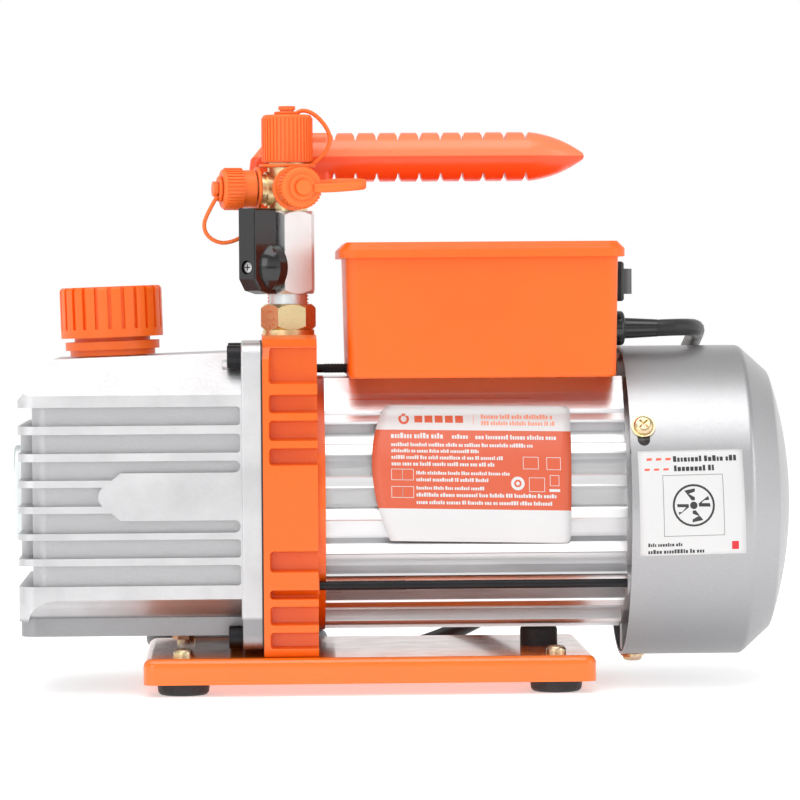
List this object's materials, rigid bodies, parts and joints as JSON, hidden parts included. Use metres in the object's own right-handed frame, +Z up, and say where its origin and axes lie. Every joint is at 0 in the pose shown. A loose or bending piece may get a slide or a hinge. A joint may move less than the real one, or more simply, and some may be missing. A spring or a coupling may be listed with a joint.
{
  "type": "rotary vane vacuum pump",
  "caption": "Direct-drive two-stage rotary vane vacuum pump: motor, bracket, oil box, inlet ball valve with capped ports, carry handle and mains lead.",
  "frame": {"origin": "on the ground under the middle of the pump, without its mains lead", "axes": "+X along the shaft from the oil box to the fan, -Y the label side, +Z up"},
  "size_m": [0.34, 0.224, 0.2546],
  "materials": {
    "orange_paint": "gloss powder coat",
    "orange_cast": "satin paint over casting",
    "orange_plastic": "smooth moulded",
    "orange_soft": "soft moulded",
    "cast_alu": "fine-grained die casting",
    "extruded_alu": "satin extrusion",
    "silver_sheet": "silver paint on sheet",
    "rubber": "matt",
    "zinc_yellow": "yellow zinc plate",
    "black_steel": "black oxide",
    "steel": "machined",
    "nickel": "satin nickel plate",
    "brass": "machined",
    "copper": "dull",
    "black_plastic": "moulded",
    "grey_plastic": "fine texture",
    "glass": "clear",
    "cast_iron": "machined",
    "carbon": "carbon composite",
    "winding": "varnished copper wire",
    "white_plastic": "moulded",
    "gasket_paper": "fibre sheet",
    "cord_pvc": "soft sheath"
  },
  "bodies": {
    "frame": {"base_plate": "orange_paint", "rubber_feet": "rubber", "foot_screws": "zinc_yellow", "motor_bumper": "rubber", "bracket": "orange_cast", "bracket_screws": "steel", "box_gasket": "gasket_paper", "oil_box": "cast_alu", "box_screws": "black_steel", "sight_glass": "glass", "sight_bezel": "nickel", "fill_fitting": "orange_plastic", "stage_one_stator": "cast_iron", "stage_two_stator": "cast_iron", "centre_plate": "cast_iron", "end_plate": "cast_iron", "exhaust_reeds": "steel", "cartridge_screws": "black_steel", "shaft_seal": "rubber", "motor_housing": "extruded_alu", "stator_core": "cast_iron", "stator_windings": "winding", "bearing_outer_races": "steel", "rear_endshield": "cast_alu", "tie_bolts": "black_steel", "fan_cover": "silver_sheet", "cover_screws": "zinc_yellow", "terminal_box": "orange_plastic", "terminal_lid": "orange_plastic", "capacitor": "white_plastic", "switch_bezel": "black_plastic", "cable_gland": "black_plastic", "inlet_fitting": "brass", "valve_body": "nickel", "inlet_manifold": "brass", "cap_straps": "orange_soft", "handle": "orange_plastic", "cord_tube": "cord_pvc", "cord_coil": "cord_pvc", "mains_plug": "black_plastic"},
    "drive": {"motor_shaft": "steel", "rotor_core": "extruded_alu", "cooling_fan": "black_plastic", "drive_coupling": "steel", "pump_rotor": "steel", "bearing_inner_races": "steel", "vane_springs": "steel"},
    "vane_one_a": {"stage_one_vane_a": "carbon"},
    "vane_one_b": {"stage_one_vane_b": "carbon"},
    "vane_two_a": {"stage_two_vane_a": "carbon"},
    "vane_two_b": {"stage_two_vane_b": "carbon"},
    "valve": {"valve_lever": "black_plastic", "valve_stem": "nickel"},
    "fill_lift": {"fill_seal": "rubber"},
    "fill_cap": {"fill_cap": "orange_plastic"},
    "top_cap": {"top_cap": "orange_soft"},
    "front_cap": {"front_cap": "orange_soft"},
    "left_cap": {"left_cap": "orange_soft"},
    "rocker": {"switch_rocker": "grey_plastic"},
    "drain_plug": {"drain_plug": "copper"}
  },
  "joints": [
    {"name": "motor_spin", "type": "hinge", "parent": "frame", "child": "drive", "pos_m": [0, 0, 0.08], "axis": [1, 0, 0], "continuous": true},
    {"name": "vane_one_a_slide", "type": "slide", "parent": "drive", "child": "vane_one_a", "axis": [0, 1, 0], "range_m": [0, 0.0029]},
    {"name": "vane_one_b_slide", "type": "slide", "parent": "drive", "child": "vane_one_b", "axis": [0, -1, 0], "range_m": [0, 0.0029]},
    {"name": "vane_two_a_slide", "type": "slide", "parent": "drive", "child": "vane_two_a", "axis": [0, 1, 0], "range_m": [0, 0.0029]},
    {"name": "vane_two_b_slide", "type": "slide", "parent": "drive", "child": "vane_two_b", "axis": [0, -1, 0], "range_m": [0, 0.0029]},
    {"name": "valve_turn", "type": "hinge", "parent": "frame", "child": "valve", "pos_m": [-0.0495, -0.014, 0.1834], "axis": [0.6702, 0.7422, 0], "range_deg": [0, 90]},
    {"name": "fill_cap_lift", "type": "slide", "parent": "frame", "child": "fill_lift", "axis": [-0.0314, 0, 0.9995], "range_m": [0, 0.012]},
    {"name": "fill_cap_twist", "type": "hinge", "parent": "fill_lift", "child": "fill_cap", "pos_m": [-0.1265, 0, 0.1455], "axis": [-0.0314, 0, 0.9995], "range_deg": [0, 1080]},
    {"name": "top_cap_off", "type": "slide", "parent": "frame", "child": "top_cap", "axis": [0, 0, 1], "range_m": [0, 0.012], "deforming": ["cap_straps"]},
    {"name": "front_cap_off", "type": "slide", "parent": "frame", "child": "front_cap", "axis": [0.2079, -0.9781, 0], "range_m": [0, 0.012], "deforming": ["cap_straps"]},
    {"name": "left_cap_off", "type": "slide", "parent": "frame", "child": "left_cap", "axis": [-0.9781, -0.2079, 0], "range_m": [0, 0.012], "deforming": ["cap_straps"]},
    {"name": "switch_rock", "type": "hinge", "parent": "frame", "child": "rocker", "pos_m": [0.0884, -0.025, 0.1763], "axis": [0, 0, 1], "range_deg": [0, 24]},
    {"name": "drain_plug_out", "type": "slide", "parent": "frame", "child": "drain_plug", "axis": [0, 0, -1], "range_m": [0, 0.0035]}
  ],
  "couplings": [
    {"joint": "fill_cap_twist", "follows": "fill_cap_lift", "rad_per_m": 1570.8}
  ]
}
